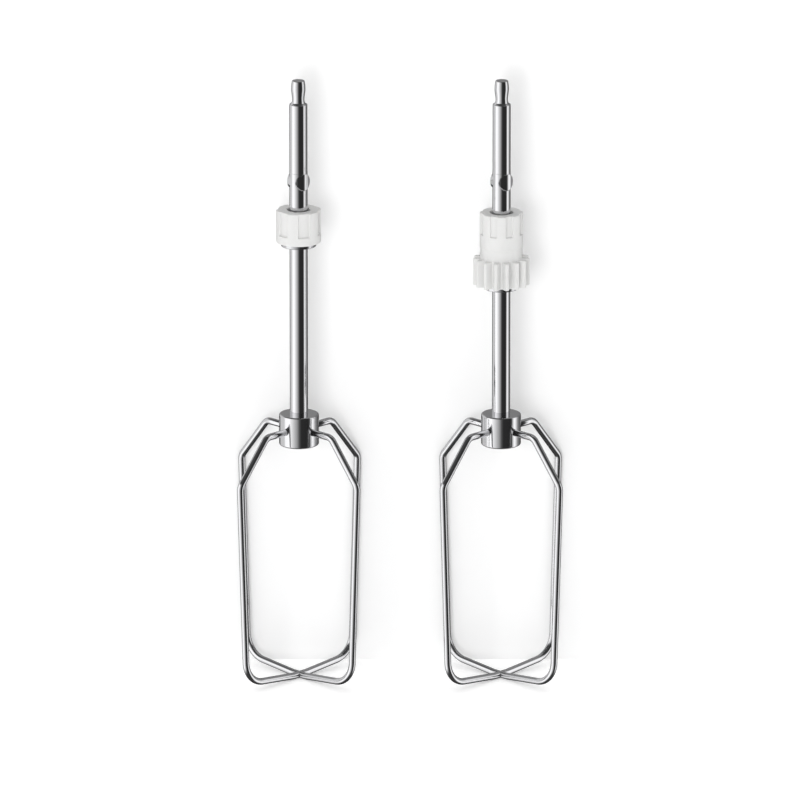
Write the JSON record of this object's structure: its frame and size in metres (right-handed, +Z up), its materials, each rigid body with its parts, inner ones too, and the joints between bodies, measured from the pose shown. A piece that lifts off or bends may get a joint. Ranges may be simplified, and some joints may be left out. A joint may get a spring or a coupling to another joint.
{
  "type": "hand mixer beaters",
  "caption": "Pair of wire beaters for a hand mixer: crossed wire cages on steel shafts with white plastic collars, one with a toothed ring.",
  "frame": {"origin": "on the surface that the beaters stand on, midway between the two shafts", "axes": "+Z up along both shafts towards their tips; +X from the plain beater to the gear beater; -Y towards the viewer"},
  "size_m": [0.1078, 0.0408, 0.2057],
  "materials": {
    "polished_steel": "polished stainless steel rod",
    "plated_wire": "bright plated drawn wire",
    "plated_hub": "bright plated turned steel",
    "washer_steel": "bright plated steel",
    "white_nylon": "moulded nylon, satin"
  },
  "bodies": {
    "plain_beater": {"plain_shaft": "polished_steel", "plain_collar": "white_nylon", "plain_washer": "washer_steel", "plain_hub": "plated_hub", "plain_wire_a": "plated_wire", "plain_wire_b": "plated_wire"},
    "gear_beater": {"gear_shaft": "polished_steel", "gear_collar": "white_nylon", "gear_washer": "washer_steel", "gear_hub": "plated_hub", "gear_wire_a": "plated_wire", "gear_wire_b": "plated_wire"}
  },
  "joints": [
    {"name": "gear_beater_spin", "type": "hinge", "parent": "plain_beater", "child": "gear_beater", "pos_m": [0.0335, 0, 0.1], "axis": [0, 0, 1], "continuous": true}
  ]
}
